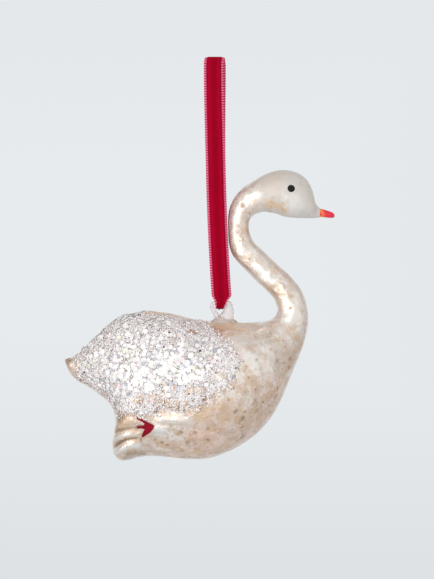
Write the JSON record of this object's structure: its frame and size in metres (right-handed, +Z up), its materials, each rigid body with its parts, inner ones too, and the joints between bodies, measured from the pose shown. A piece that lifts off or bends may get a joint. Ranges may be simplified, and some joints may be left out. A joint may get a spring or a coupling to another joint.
{
  "type": "swan christmas bauble",
  "caption": "Blown glass swan with raised, glittered wings and a curved neck, hanging by a clear glass loop from a looped velvet ribbon.",
  "frame": {"origin": "hang point, inside the top fold of the ribbon loop", "axes": "+X towards the beak, +Z up along the hanging ribbon, +Y across the swan"},
  "size_m": [0.1113, 0.0554, 0.1668],
  "materials": {
    "silvered_glass": "pearl lacquer over silvered glass, with fine brown speckle",
    "clear_glass": "clear fire-polished glass",
    "velvet": "red velvet pile with a woven edge",
    "glitter": "iridescent white flakes and fine silver glitter in glue",
    "black_paint": "gloss paint",
    "coral_paint": "gloss paint",
    "crimson_paint": "satin paint"
  },
  "bodies": {
    "root": {"swan_glass": "silvered_glass", "hanging_eye": "clear_glass", "velvet_ribbon": "velvet", "glitter_coat": "glitter", "beak_paint": "coral_paint", "eye_dot_left": "black_paint", "eye_dot_right": "black_paint", "foot_paint_left": "crimson_paint", "foot_paint_right": "crimson_paint"}
  },
  "joints": []
}
